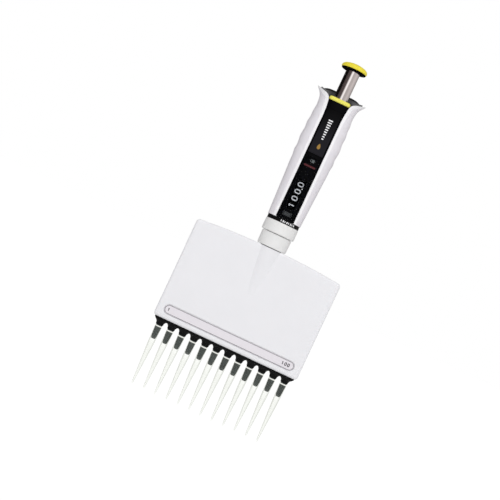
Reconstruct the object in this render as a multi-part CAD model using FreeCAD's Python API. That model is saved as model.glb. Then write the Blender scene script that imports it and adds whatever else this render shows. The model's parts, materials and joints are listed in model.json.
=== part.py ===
import FreeCAD, Part
import math
import os

# Twelve-channel mechanical air-displacement pipette, standing upright, tips down.
# Millimetres. +Z is up along the plunger axis, +X along the tip row, -Y the front with the
# volume display, +Y the back with the finger hook. Origin: centre of the row of tip ends.
# Cutting shapes run freely past the material they trim.

Vector = FreeCAD.Vector
os.makedirs("parts", exist_ok=True)

# ---------------------------------------------------------------- driving dimensions
PITCH = 9.0                    # channel pitch of a 96-well plate
CHANNELS = 12
CHANNEL_X = [(i - (CHANNELS - 1) / 2) * PITCH for i in range(CHANNELS)]
TIP_LENGTH = 49.5              # disposable 200 microlitre tip; its rim is at this height
FIRST_STOP = 14.15             # button travel for 100 microlitres with a 3 mm piston
BLOWOUT = 4.0                  # further button travel
STROKE = FIRST_STOP + BLOWOUT
LOCK_TRAVEL = 2.4              # travel of the volume lock slider


# ---------------------------------------------------------------- helpers
def cyl(radius, z0, z1, x=0.0, y=0.0):
    return Part.makeCylinder(radius, z1 - z0, Vector(x, y, z0))


def ycyl(radius, y0, y1, x, z):
    return Part.makeCylinder(radius, y1 - y0, Vector(x, y0, z), Vector(0, 1, 0))


def tube(outer, inner, z0, z1):
    return cyl(outer, z0, z1).cut(cyl(inner, z0 - 1, z1 + 1))


def box(x0, x1, y0, y1, z0, z1):
    return Part.makeBox(x1 - x0, y1 - y0, z1 - z0, Vector(x0, y0, z0))


def polygon_face(points):
    return Part.Face(Part.makePolygon(points + [points[0]]))


def turned(profile, x=0.0):
    """Solid of revolution about the vertical through (x, 0); the profile is (radius, z)."""
    face = polygon_face([Vector(x + r, 0, z) for r, z in profile])
    return face.revolve(Vector(x, 0, 0), Vector(0, 0, 1), 360)


def xz_prism(points, y0, y1):
    return polygon_face([Vector(x, y0, z) for x, z in points]).extrude(Vector(0, y1 - y0, 0))


def mirrored(half):
    """Outline symmetric about x = 0 from its right half; points are (x, z)."""
    return [(-x, z) for x, z in half] + half[::-1]


def lines(points):
    return [Part.LineSegment(a, b).toShape() for a, b in zip(points, points[1:])]


def arc(start, middle, end):
    return Part.Arc(start, middle, end).toShape()


def spline(points):
    curve = Part.BSplineCurve()
    curve.interpolate(points)
    return curve.toShape()


def prism(edges, direction):
    return Part.Face(Part.Wire(edges)).extrude(direction)


def fuse(*shapes):
    result = shapes[0]
    for shape in shapes[1:]:
        result = result.fuse(shape)
    return result.removeSplitter()


def cut(body, *tools):
    for tool in tools:
        body = body.cut(tool)
    return body


def try_fillet(shape, radius, pick):
    """Rounds the edges that pick() accepts."""
    edges = [edge for edge in shape.Edges if pick(edge)]
    for trial in (radius, radius * 0.7, radius * 0.4):
        # A fillet can fail on these edges: then a smaller radius, and at last plain edges.
        try:
            result = shape.makeFillet(trial, edges)
            if result.isValid() and result.Volume > 0.5 * shape.Volume and result.Solids:
                return result
        except Exception:
            pass
    return shape


def spring(mean_radius, wire, z0, z1, turns, x=0.0, y=0.0):
    """Open coil between its seats, swept from an octagon inside the wire diameter."""
    height = z1 - z0 - wire
    helix = Part.makeHelix(height / turns, height, mean_radius)
    helix.translate(Vector(0, 0, z0 + wire / 2))
    centre = Vector(mean_radius, 0, z0 + wire / 2)
    angles = [math.pi * (2 * i + 1) / 8 for i in range(8)]
    points = [centre + Vector(wire / 2 * math.cos(a), 0, wire / 2 * math.sin(a)) for a in angles]
    profile = Part.makePolygon(points + [points[0]])
    coil = Part.Wire(helix.Edges).makePipeShell([profile], True, True)
    if coil.ShapeType != "Solid":
        coil = Part.Solid(coil)
    coil.translate(Vector(x, y, 0))
    if coil.Volume < 0:     # the sweep may come out inside out
        coil.reverse()
    return coil


def rear_screws(places, shank, y_tip, y_seat, head, head_height):
    """Screws along Y, heads to the back, each with a cross recess; places are (x, z)."""
    half_length, half_width, depth = 1.0, 0.22, 0.7
    y_face = y_seat + head_height
    screws = []
    for x, z in places:
        screw = fuse(ycyl(shank, y_tip, y_seat, x, z), ycyl(head, y_seat, y_face, x, z))
        screw = try_fillet(screw, 0.35, lambda edge: abs(edge.CenterOfMass.y - y_face) < 0.01)
        cross = [box(x - dx, x + dx, y_face - depth, y_seat + 3, z - dz, z + dz)
                 for dx, dz in ((half_length, half_width), (half_width, half_length))]
        screws.append(screw.cut(fuse(*cross)))
    return screws


def counterbores(places, radius, head, y0, y_seat, y1):
    return [fuse(ycyl(radius, y0, y1, x, z), ycyl(head, y_seat, y1, x, z)) for x, z in places]


# ---------------------------------------------------------------- tips and cones
def pipette_tips():
    # (radius, z), outside going down, then the bore going up
    outside = [(2.86, TIP_LENGTH), (2.86, 48.7), (2.72, 48.3), (2.60, 42.0), (2.47, 37.0),
               (2.25, 32.0), (1.66, 22.0), (1.08, 12.0), (0.62, 4.0), (0.44, 0.0)]
    bore = [(0.24, 0.0), (0.36, 4.0), (0.76, 12.0), (1.30, 22.0), (1.85, 32.0), (2.03, 37.0),
            (2.16, 42.0), (2.44, 47.4), (2.58, TIP_LENGTH)]
    return Part.makeCompound([turned(outside + bore, x) for x in CHANNEL_X])


def tip_cones():
    profile = [(0.9, 61.2), (3.2, 61.2), (3.2, 59.3), (2.42, 59.3), (2.42, 50.0), (2.36, 47.4),
               (2.02, 42.0), (1.86, 40.4), (1.62, 39.6), (1.28, 39.2), (0.9, 39.2)]
    return Part.makeCompound([turned(profile, x) for x in CHANNEL_X])


def cone_orings():
    return Part.makeCompound([Part.makeTorus(2.4, 0.33, Vector(x, 0, 61.6)) for x in CHANNEL_X])


BLOCK_HX, BLOCK_HY = 52.4, 5.9                       # half width and depth of the block
RETAINER_SCREW_X = [2 * PITCH * i for i in range(-2, 3)]


def slab(z0, z1):
    """Plate with the plan of the cylinder block."""
    return box(-BLOCK_HX, BLOCK_HX, -BLOCK_HY, BLOCK_HY, z0, z1)


def cone_retainer():
    plate = cut(slab(56.2, 59.2), *[cyl(2.6, 55, 60, x) for x in CHANNEL_X])
    holes = [fuse(cyl(1.12, 55, 60, x), cyl(2.0, 55, 57.7, x)) for x in RETAINER_SCREW_X]
    return cut(plate, *holes)


def retainer_screws():
    return Part.makeCompound([
        fuse(cyl(1.9, 56.4, 57.65, x), cyl(1.0, 57.6, 68.0, x))
        .cut(box(x - 1.3, x + 1.3, -0.25, 0.25, 56.0, 56.9))
        for x in RETAINER_SCREW_X])


# ---------------------------------------------------------------- cylinder block, pistons
BLOCK_Z0, BLOCK_Z1 = 62.0, 86.0
SEAL_SEAT = 83.8
POST_X = (-3 * PITCH, 3 * PITCH)                     # guide posts and return springs
POST_R, POST_Z0 = 1.15, 64.05
SPRING_BORE_R, SPRING_BORE_Z0 = 1.8, 66
CARRIAGE_Z0, CARRIAGE_Z1 = 107.0, 111.0
PISTON_R, PISTON_HEAD_Z = 1.5, 109.5
STEM_R = 1.6
TOP_PLATE_Z0, TOP_PLATE_Z1 = 124.0, 127.0
SIDE_SCREWS = [(x * PITCH, 73.0) for x in (-1, 1, -5, 5)]     # (x, z)


def cylinder_block():
    block = cut(slab(BLOCK_Z0, BLOCK_Z1),
                *[fuse(cyl(1.7, 61, SEAL_SEAT, x), cyl(2.25, SEAL_SEAT, 87, x))
                  for x in CHANNEL_X])
    block = cut(block, *[cyl(1.02, 61, 68.6, x) for x in RETAINER_SCREW_X])
    block = cut(block, *[fuse(cyl(SPRING_BORE_R, SPRING_BORE_Z0, 87, x), cyl(1.16, 64, 66.5, x))
                         for x in POST_X])
    return cut(block, *[ycyl(1.05, 1.5, 7, x, z) for x, z in SIDE_SCREWS])


def piston_seals():
    seals = [cyl(2.2, 83.9, 85.9, x).cut(cyl(1.53, 82.9, 86.9, x)) for x in CHANNEL_X]
    return Part.makeCompound(seals)


def seal_plate():
    return cut(slab(BLOCK_Z1 + 0.05, 88.3), *[cyl(1.6, 85, 90, x) for x in CHANNEL_X],
               *[cyl(SPRING_BORE_R, 85, 90, x) for x in POST_X])


def guide_posts():
    return Part.makeCompound([cyl(POST_R, POST_Z0, TOP_PLATE_Z1 - 0.1, x) for x in POST_X])


def return_springs():
    return Part.makeCompound([
        spring(1.46, 0.4, SPRING_BORE_Z0 + 0.1, CARRIAGE_Z0 - 0.1, 18, x) for x in POST_X])


def piston_carriage():
    plate = box(-51.9, 51.9, -5.0, 5.0, CARRIAGE_Z0, CARRIAGE_Z1)
    plate = cut(plate, *[fuse(cyl(PISTON_R, 106, 112, x), cyl(2.45, PISTON_HEAD_Z, 112, x))
                         for x in CHANNEL_X])
    return cut(plate, *[cyl(1.2, 106, 112, x) for x in POST_X], cyl(STEM_R, 106, 112))


def pistons():
    return Part.makeCompound([
        fuse(cyl(PISTON_R, 81.5, PISTON_HEAD_Z, x), cyl(2.4, PISTON_HEAD_Z, 110.9, x))
        for x in CHANNEL_X])


def carriage_stem():
    return fuse(cyl(STEM_R, CARRIAGE_Z0 + 0.05, CARRIAGE_Z1), cyl(2.5, CARRIAGE_Z1, 138.9))


def top_plate():
    plate = fuse(box(-30.0, 30.0, -BLOCK_HY, BLOCK_HY, TOP_PLATE_Z0, TOP_PLATE_Z1),
                 cyl(7.9, TOP_PLATE_Z0, TOP_PLATE_Z1))
    return cut(plate, cyl(6.05, 123, 128), *[cyl(1.17, 123, 128, x) for x in POST_X])


# ---------------------------------------------------------------- tip ejector, module side
YOKE_Z0 = 118.0
EJECTOR_TOP = 55.7             # top of the ejector plate
EJECTOR_BORE_R = 2.66


def ejector_yoke():
    yoke = fuse(tube(5.8, 3.2, 130.0, 136.1),
                box(3.9, 5.4, -1.7, 1.7, 121.0, 131.0),
                box(-5.4, -3.9, -1.7, 1.7, 121.0, 131.0),
                box(-54.35, 54.35, -3.0, 3.0, YOKE_Z0, 121.5))
    return cut(yoke, cyl(2.95, 117, 122), *[cyl(1.9, 117, 122, x) for x in POST_X])


def ejector_side_rods():
    return Part.makeCompound([box(x - 0.75, x + 0.75, -2.2, 2.2, EJECTOR_TOP, YOKE_Z0)
                              for x in (-53.6, 53.6)])


def ejector_plate():
    half_depth = 5.6
    plate = xz_prism(mirrored([(54.9, EJECTOR_TOP), (54.9, 55.2), (53.4, 53.6)]),
                     -half_depth, half_depth)
    # round the two long lower edges
    plate = try_fillet(plate, 0.7, lambda edge: (
        abs(abs(edge.CenterOfMass.y) - half_depth) < 0.01
        and edge.Length > 100 and edge.CenterOfMass.z < 54.5))
    # boss under each channel, (radius, z)
    boss = [(EJECTOR_BORE_R, 50.2), (2.80, 50.2), (2.92, 51.4), (3.15, 52.0), (3.55, 52.6),
            (4.4, 53.5), (4.4, 54.2), (EJECTOR_BORE_R, 54.2)]
    plate = cut(plate, *[cyl(EJECTOR_BORE_R, 50, 56, x) for x in CHANNEL_X])
    return fuse(plate, *[turned(boss, x) for x in CHANNEL_X])


# ---------------------------------------------------------------- module housing
HOUSING_Z0, HOUSING_Z1 = 55.9, 133.9      # bottom, top of the crown
HOUSING_HX, HOUSING_HY = 56.5, 8.6        # half width, half depth
WALL = 1.6
CROWN = 2.7                               # how far the top edge falls to the corners
CORNER_TOP, CORNER_BOTTOM = 2.6, 2.4      # corner radii of the outline
COLLAR_R = 11.1
LABEL_Z = 63.5
UPPER_SCREWS = [(-42.0, 125.0), (42.0, 125.0)]      # (x, z)


def housing_block():
    """Front outline with a crowned top edge, drawn front to back, outline edges rounded."""
    hx, z0 = HOUSING_HX, HOUSING_Z0
    z_top = HOUSING_Z1 - CROWN * ((hx - CORNER_TOP) / hx) ** 2
    # distance of an arc's middle from the two sides it joins
    mid_top = CORNER_TOP * (1 - math.sqrt(0.5))
    mid_bottom = CORNER_BOTTOM * (1 - math.sqrt(0.5))

    def at(x, z):
        return Vector(x, -HOUSING_HY, z)

    def corner(side):
        """Bottom, bottom middle, side low, side high, top middle and top arc points."""
        return [at(side * (hx - CORNER_BOTTOM), z0),
                at(side * (hx - mid_bottom), z0 + mid_bottom),
                at(side * hx, z0 + CORNER_BOTTOM),
                at(side * hx, z_top - CORNER_TOP),
                at(side * (hx - mid_top), z_top - mid_top),
                at(side * (hx - CORNER_TOP), z_top)]

    left, right = corner(-1), corner(1)
    edges = [*lines([left[0], right[0]]),
             arc(*right[:3]),
             *lines(right[2:4]),
             arc(*right[3:]),
             arc(right[5], at(0, HOUSING_Z1), left[5]),
             arc(*left[:2:-1]),
             *lines([left[3], left[2]]),
             arc(*left[2::-1])]
    solid = prism(edges, Vector(0, 2 * HOUSING_HY, 0))
    return try_fillet(solid, 1.9, lambda edge: edge.BoundBox.YLength < 0.01)


def housing_shell():
    boss = Part.makeCone(HOUSING_HY, COLLAR_R, 133.6 - 96.0, Vector(0, 0, 96.0))
    inner_x, inner_y = HOUSING_HX - WALL, HOUSING_HY - WALL
    cavity = box(-inner_x, inner_x, -inner_y, inner_y, 50, 128.6)
    shell = cut(housing_block().fuse(boss), cavity, cyl(8.08, 120, 140))
    return fuse(shell, *[ycyl(2.6, -7.6, 7.6, x, z) for x, z in UPPER_SCREWS])


housing = housing_shell()


def stadium(half_x, half_z, y0, y1):
    """Round-ended bar across the label height."""
    end_x = half_x - half_z
    return fuse(box(-end_x, end_x, y0, y1, LABEL_Z - half_z, LABEL_Z + half_z),
                ycyl(half_z, y0, y1, -end_x, LABEL_Z),
                ycyl(half_z, y0, y1, end_x, LABEL_Z))


def housing_front():
    front = housing.common(box(-80, 80, -20, -0.05, 40, 150))
    front = front.cut(stadium(51.1, 3.75, -HOUSING_HY - 1, -HOUSING_HY + 0.75))
    return cut(front, *[ycyl(1.02, -5.5, 1, x, z) for x, z in UPPER_SCREWS])


def label_plate():
    y_front = -HOUSING_HY + 0.02
    label = stadium(50.72, 3.37, y_front, y_front + 0.7)
    return try_fillet(label, 0.22, lambda edge: abs(edge.CenterOfMass.y - y_front) < 0.01)


def housing_rear():
    rear = housing.common(box(-80, 80, 0.05, 20, 40, 150))
    return cut(rear, *counterbores(UPPER_SCREWS, 1.25, 2.2, -1, 5.9, 12),
               *counterbores(SIDE_SCREWS, 1.25, 2.2, 5, 7.8, 12))


def housing_screws():
    return Part.makeCompound(
        rear_screws(UPPER_SCREWS, shank=1.0, y_tip=-5.3, y_seat=5.95, head=1.95, head_height=1.3)
        + rear_screws(SIDE_SCREWS, shank=1.0, y_tip=2.0, y_seat=7.85, head=1.95, head_height=0.7))


# ---------------------------------------------------------------- swivel neck
COLLAR_Z0, COLLAR_Z1 = 134.2, 144.35
NUT_Z0, NUT_Z1 = 144.7, 153.35
NUT_R = 12.6
NECK_TOP = 148.2


def neck_tube():
    return fuse(tube(8.0, 6.2, TOP_PLATE_Z1 + 0.05, NECK_TOP), tube(9.6, 6.2, 146.6, NECK_TOP))


def swivel_collar():
    return turned([(8.03, COLLAR_Z0), (10.75, COLLAR_Z0), (11.0, COLLAR_Z0 + 0.3),
                   (COLLAR_R, COLLAR_Z0 + 1.0), (11.35, COLLAR_Z1 - 0.5), (11.05, COLLAR_Z1),
                   (8.03, COLLAR_Z1)])


def coupling_nut():
    return turned([(8.15, NUT_Z0), (11.9, NUT_Z0), (12.35, NUT_Z0 + 0.25), (NUT_R, NUT_Z0 + 0.8),
                   (12.5, NUT_Z1 - 0.5), (12.25, NUT_Z1), (10.86, NUT_Z1), (10.86, 146.4),
                   (8.15, 146.4)])


def swivel_washer():
    return tube(9.6, 7.0, NECK_TOP + 0.05, 148.85)


# ---------------------------------------------------------------- grip sections
SHELL_Z0, SHELL_Z1 = 156.2, 255.6
SHELL_REAR_TOP = 244.2         # top of the grip at the back
# (z, half width), (z, depth in front of the axis), (z, depth behind it), outside of the grip
OUT_WIDTH = [
    (SHELL_Z0, 12.75), (159, 12.85), (163, 13.05), (168, 13.25), (173, 13.45), (178, 13.7),
    (183, 13.92), (188, 14.15), (193, 14.4), (198, 14.62), (202.4, 14.7), (206.4, 15.2),
    (210.3, 14.8), (214, 15.2), (217.3, 15.45), (220.5, 15.15), (223.8, 14.85), (228.0, 15.2),
    (232.2, 14.55), (236, 14.65), (239.3, 14.3), (242.2, 14.1), (245, 14.4), (247.5, 14.85),
    (249.5, 15.6), (251.2, 16.8), (252.7, 18.05), (254.0, 19.0), (SHELL_Z1, 19.7)]
OUT_FRONT = [(SHELL_Z0, 13.15), (180, 13.2), (240, 13.2), (246, 13.4), (250, 13.9),
             (SHELL_Z1, 14.9)]
OUT_BACK = [(SHELL_Z0, 12.6), (168, 13.1), (185, 13.9), (205, 14.7), (222, 14.4), (240, 13.7),
            (SHELL_Z1, 14.4)]
# the same for the inner face, which has no waves
IN_WIDTH = [(150.0, 10.75), (178, 11.6), (198, 12.4), (230, 12.35), (242, 11.95), (262, 12.6)]
IN_FRONT = [(150.0, 11.3), (262, 11.3)]
IN_BACK = [(150.0, 10.75), (168, 11.25), (185, 12.0), (205, 12.7), (222, 12.4), (240, 11.85),
           (262, 12.4)]
# (z, superellipse exponent) of both faces
SQUARENESS = [(SHELL_Z0, 2.5), (162, 2.55), (SHELL_Z1, 2.55)]
OUTSIDE = (OUT_WIDTH, OUT_FRONT, OUT_BACK, SQUARENESS)
INSIDE = (IN_WIDTH, IN_FRONT, IN_BACK, SQUARENESS)
SECTION_POINTS = 36


def lookup(table, z):
    """Linear interpolation, held constant past the ends."""
    if z <= table[0][0]:
        return table[0][1]
    for (z0, v0), (z1, v1) in zip(table, table[1:]):
        if z <= z1:
            return v0 + (v1 - v0) * (z - z0) / (z1 - z0)
    return table[-1][1]


def signed_power(value, exponent):
    return math.copysign(abs(value) ** exponent, value)


def section(z, tables, inset=0.0):
    """Closed spline of one level of the grip."""
    width, front, back, square = (lookup(table, z) for table in tables)
    width, front, back = width - inset, front - inset, back - inset
    ring = []
    for k in range(SECTION_POINTS):
        angle = 2 * math.pi * k / SECTION_POINTS
        sine = math.sin(angle)
        depth = back if sine > 0 else front
        ring.append(Vector(width * signed_power(math.cos(angle), 2 / square),
                           depth * signed_power(sine, 2 / square), z))
    # even spacing by arc length keeps the spline smooth where the section is flat
    ring.append(ring[0])
    run = [0.0]
    for start, end in zip(ring, ring[1:]):
        run.append(run[-1] + start.distanceToPoint(end))
    points = []
    k = 0
    for i in range(SECTION_POINTS):
        want = run[-1] * i / SECTION_POINTS
        while run[k + 1] < want:
            k += 1
        share = (want - run[k]) / (run[k + 1] - run[k])
        even = ring[k] + (ring[k + 1] - ring[k]) * share
        # put the even point back on the true curve
        depth = back if even.y > 0 else front
        scale = (abs(even.x / width) ** square + abs(even.y / depth) ** square) ** (1 / square)
        points.append(Vector(even.x / scale, even.y / scale, z))
    curve = Part.BSplineCurve()
    curve.interpolate(Points=points, PeriodicFlag=True)
    return Part.Wire([curve.toShape()])


def grip_loft(z0, z1, levels, tables):
    between = [z for z in levels if z - z0 > 1 and z1 - z > 0.8]
    return Part.makeLoft([section(z, tables) for z in [z0] + between + [z1]], True, False)


grip_outside = grip_loft(SHELL_Z0, SHELL_Z1, [z for z, _ in OUT_WIDTH], OUTSIDE)
grip_inside = grip_loft(150.0, 262.0, [178, 198, 214, 230, 242], INSIDE)

# ---------------------------------------------------------------- chassis of the handle
BAND_R, BAND_TOP = 12.25, 156.15     # black band below the grips
CHASSIS_Z0 = 154.05
PANEL_TOP = 247.4
DECK_Z, DECK_THICK = 231.0, 2.2      # deck that carries the ejector springs
WHEEL_R, WHEEL_BORE_R = 9.0, 7.45
WHEEL_HEIGHT, WHEEL_PITCH, WHEEL_Z0 = 5.15, 5.33, 165.3
WHEELS = ("hundreds_wheel", "tens_wheel", "units_wheel", "tenths_wheel")    # bottom to top
KEYWAY_HY = 1.15                     # half width of the keyways


def chassis_base():
    return fuse(tube(10.8, 4.9, 148.9, 153.45), tube(BAND_R, 4.9, 153.4, CHASSIS_Z0),
                tube(BAND_R, 10.75, 154.0, BAND_TOP))


def chassis():
    body = fuse(tube(7.3, 6.5, CHASSIS_Z0, 190.0), tube(8.2, 6.5, 186.8, 190.5),
                tube(8.2, 7.5, 190.4, PANEL_TOP))
    # the deck takes its plan 1 mm above its underside
    deck = Part.Face(section(DECK_Z + 1, INSIDE, 0.2)).extrude(Vector(0, 0, DECK_THICK))
    deck.translate(Vector(0, 0, -1))
    deck = deck.cut(fuse(cyl(7.6, 220, 250), box(-20, 20, -20, -9.55, 220, 250)))
    ejector_arm_slot = box(-2.1, 2.1, 5.5, 9.0, 153.0, 163.6)
    ejector_strip_slot = box(-2.4, 2.4, 8.9, 10.7, 225, 245)
    lock_tab_slot = box(-1.4, 1.4, -14.0, -6.5, 235.8, 241.6)
    stop_keyways = box(-9.0, 9.0, -KEYWAY_HY, KEYWAY_HY, 166.8, 186.0)
    stop_keyways = stop_keyways.common(tube(7.4, 6.4, 160, 190))
    return cut(body.fuse(deck), ejector_arm_slot, ejector_strip_slot, lock_tab_slot,
               stop_keyways).removeSplitter()


def wheel_clip():
    return tube(8.6, 7.33, 164.2, 165.1).cut(box(-1.6, 1.6, -9, 0, 164, 166))


def guide_bush():
    return tube(7.48, 5.35, 243.0, 247.3)


def number_wheel(index):
    z0 = WHEEL_Z0 + index * WHEEL_PITCH
    z1 = z0 + WHEEL_HEIGHT
    bevel = 0.25
    return turned([(WHEEL_BORE_R, z0), (WHEEL_R - bevel, z0), (WHEEL_R, z0 + bevel),
                   (WHEEL_R, z1 - bevel), (WHEEL_R - bevel, z1), (WHEEL_BORE_R, z1)])


# ---------------------------------------------------------------- volume setting
STOP_Z0, STOP_TOP = 168.0, 195.1
NOTCHES = 24


def setting_sleeve():
    sleeve = turned([(5.5, 184.5), (6.3, 184.5), (6.3, 190.6), (7.3, 190.6), (7.3, 238.8),
                     (6.6, 238.8), (6.6, 241.6), (7.3, 241.6), (7.3, 242.6), (5.5, 242.6)])
    keyways = box(-6.1, 6.1, -KEYWAY_HY, KEYWAY_HY, 191.0, 243.0)
    sleeve = sleeve.cut(keyways.common(cyl(6.1, 180, 250)))
    for k in range(NOTCHES):
        notch = box(-0.6, 0.6, -8.0, -6.6, 235.2, 239.0)
        notch.rotate(Vector(0, 0, 0), Vector(0, 0, 1), 360.0 / NOTCHES * k)
        sleeve = sleeve.cut(notch)
    return sleeve


def stop_sleeve():
    sleeve = turned([(2.4, STOP_Z0), (6.3, STOP_Z0), (6.3, 171.0), (5.35, 171.4),
                     (5.35, STOP_TOP), (2.4, STOP_TOP)])
    keys = box(-7.1, 7.1, -0.95, 0.95, STOP_Z0, 171.0).cut(cyl(3.0, 160, 180))
    return fuse(sleeve, keys)


def blowout_spring():
    return spring(4.3, 0.8, STOP_TOP + 0.1, STOP_TOP + STROKE - 1.45, 5)


# ---------------------------------------------------------------- plunger and button
ROD_TOP = 272.0
BUTTON_Z0 = 274.0              # underside of the button
CAP_Z0, CAP_TOP = 274.75, 279.6
CAP_R = 9.85


def plunger_tube():
    keys = box(-6.0, 6.0, -1.0, 1.0, 239.0, 242.9).cut(cyl(4.8, 230, 250))
    return fuse(tube(5.3, 4.5, 226.0, BUTTON_Z0), keys)


def push_rod():
    return cyl(2.0, 139.0, ROD_TOP)


def button_base():
    return turned([(0, ROD_TOP), (4.45, ROD_TOP), (4.45, BUTTON_Z0), (8.9, BUTTON_Z0),
                   (9.25, 274.2), (9.35, 274.5), (9.35, CAP_Z0), (0, CAP_Z0)])


def button_cap():
    return turned([(0, CAP_Z0), (9.35, CAP_Z0), (9.7, 274.95), (CAP_R, 275.5), (9.8, 276.1),
                   (9.55, 276.8), (9.0, 277.5), (8.0, 278.15), (6.6, 278.7), (4.8, 279.15),
                   (2.6, 279.48), (0, CAP_TOP)])


# ---------------------------------------------------------------- grip shell, rear cover, hook
Y_SPLIT = 4.5                  # back of the shell, where the rear cover starts
Y_HORN = -2.4                  # back of the two upper horns
HANDLE_SCREWS = [(-10.4, 200.0), (10.4, 200.0), (-10.4, 224.0), (10.4, 224.0)]    # (x, z)


def rim_cutter():
    """Everything above the rim, which dips to the middle between the horns."""
    # (x, z) of the left half, outside to middle
    rim = [(-24, 256.6), (-19.5, 254.3), (-16.5, 252.9), (-14.2, 252.0), (-12.2, 251.3),
           (-10.5, 250.5), (-9.2, 249.5), (-8.4, 248.4), (-7.6, 246.4)]
    left = [Vector(x, -30, z) for x, z in rim]
    right = [Vector(-x, -30, z) for x, z in reversed(rim)]
    over = [right[-1], Vector(24, -30, 275), Vector(-24, -30, 275), left[0]]
    return prism([spline(left), *lines([left[-1], right[0]]), spline(right), *lines(over)],
                 Vector(0, 60, 0))


def along_lip(edge):
    """The long front edges of the panel channel."""
    size, centre = edge.BoundBox, edge.CenterOfMass
    return (size.ZLength > 1.5 and centre.y < -11.0 and 6.5 < abs(centre.x) < 8.2
            and size.YLength < 1.2 and size.XLength < 1.0)


def handle_shell():
    # (x, z) of the right side of the panel channel
    channel = [(6.85, 150), (6.85, 236), (7.12, 241), (7.6, 245), (8.0, 247.3), (8.45, 247.45),
               (8.45, 262)]
    posts = [fuse(ycyl(1.7, -8.5, Y_SPLIT, x, z),
                  box(min(x, x * 1.4), max(x, x * 1.4), -8.5, Y_SPLIT, z - 0.8, z + 0.8))
             for x, z in HANDLE_SCREWS]
    # the hollow stops short of the front face, the shelf under the colour ring and the posts
    hollow = grip_inside.common(box(-30, 30, -9.65, 30, 145, 265))
    shelf = box(-30, 30, -20, Y_HORN, 245.3, PANEL_TOP).cut(cyl(8.3, 240, 250))
    hollow = cut(hollow, shelf, *posts)

    shell = cut(grip_outside, box(-30, 30, Y_SPLIT, 30, 150, 262),
                box(-30, 30, Y_HORN, 30, SHELL_REAR_TOP, 262),
                xz_prism(mirrored(channel), -25, -10.65), rim_cutter())
    shell = try_fillet(shell, 0.9, along_lip)
    display_opening = box(-3.7, 3.7, -12, -9, 164.2, 187.8)
    lock_opening = box(-1.4, 1.4, -12, -9, 235.8, 242.0)
    return cut(shell, hollow, display_opening, lock_opening,
               *[ycyl(0.95, -5.0, 6, x, z) for x, z in HANDLE_SCREWS])


def rear_cover():
    cover = grip_outside.common(box(-30, 30, Y_SPLIT + 0.12, 30, SHELL_Z0, SHELL_REAR_TOP))
    return cut(cover, grip_inside, *counterbores(HANDLE_SCREWS, 1.2, 2.15, 4, 8.2, 25))


def handle_screws():
    return Part.makeCompound(rear_screws(HANDLE_SCREWS, shank=0.9, y_tip=-3.5, y_seat=8.25,
                                         head=1.9, head_height=1.2))


def finger_hook():
    """Downturned arm with a flat seat on its underside."""
    # (y, z): over the top, round the end and back to the seat; then seat to grip
    upper = [(8.0, 241.0), (14.0, 240.9), (18.5, 241.6), (24.0, 241.7), (29.5, 240.2),
             (34.0, 236.6), (36.6, 231.5), (37.3, 227.0), (36.9, 225.4), (35.6, 224.7),
             (34.2, 225.2), (33.6, 226.6), (32.6, 230.6), (30.2, 234.0), (27.0, 235.9)]
    lower = [(17.8, 235.9), (16.0, 235.0), (14.9, 232.6), (14.4, 229.0), (12.0, 224.0),
             (8.0, 219.0)]
    upper, lower = ([Vector(-20, y, z) for y, z in side] for side in (upper, lower))
    hook = prism([spline(upper), *lines([upper[-1], lower[0]]), spline(lower),
                  *lines([lower[-1], upper[0]])], Vector(40, 0, 0))
    # (x, y) of the left half in plan: wide at the grip, narrowing to a round end
    plan = [(-13.5, 6.0), (-12.6, 12.0), (-10.4, 17.0), (-9.3, 23.0), (-8.6, 30.0),
            (-7.3, 35.5), (-4.0, 38.2), (0.0, 38.9)]
    points = [Vector(x, y, 210) for x, y in plan]
    points += [Vector(-x, y, 210) for x, y in reversed(plan[:-1])]
    hook = hook.common(prism([spline(points), *lines([points[-1], points[0]])],
                             Vector(0, 0, 40)))
    hook = try_fillet(hook, 1.6, lambda edge: (
        edge.CenterOfMass.y > 12.5 and edge.BoundBox.YLength > 6
        and abs(edge.CenterOfMass.x) > 2))
    hook = hook.cut(grip_outside)
    hook.translate(Vector(0, 0.05, 0))
    # the cut can leave scraps inside the grip
    return max(hook.Solids, key=lambda solid: solid.Volume)


# ---------------------------------------------------------------- panel, window, lock, ring
PANEL_Y, PANEL_R = -12.6, 42.0       # front of the panel and radius of its curved face
LOCK_Z0 = 205.2
RING_Z0, RING_Z1 = 247.5, 250.5


def panel_curve(depth):
    """Cylinder whose front lies this far behind the panel face."""
    return Part.makeCylinder(PANEL_R - depth, 130, Vector(0, PANEL_Y + PANEL_R, 140))


def front_block(half_x, z0, z1):
    return box(-half_x, half_x, -14, -10, z0, z1)


def front_panel():
    right_side = [(6.76, 156.3), (6.76, 236), (7.02, 241), (7.5, 245), (7.88, PANEL_TOP)]
    panel = xz_prism(mirrored(right_side), -14, -10.7).common(panel_curve(0))
    window_recess = front_block(6.15, 157.3, 204.9).cut(panel_curve(0.62))
    lock_recess = front_block(5.6, 205.15, 241.65).cut(panel_curve(1.15))
    return cut(panel, window_recess, lock_recess, front_block(3.1, 164.9, 187.0),
               front_block(1.3, 236.2, 241.7))


def display_window():
    return front_block(6.1, 157.35, 204.85).common(panel_curve(0)).cut(panel_curve(0.58))


def lock_slider():
    slider = front_block(5.52, LOCK_Z0 + LOCK_TRAVEL, 241.57)
    slider = slider.common(panel_curve(0.06)).cut(panel_curve(1.1))
    return fuse(slider, box(-0.5, 0.5, -12.0, -6.85, 239.3, 240.5))


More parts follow.
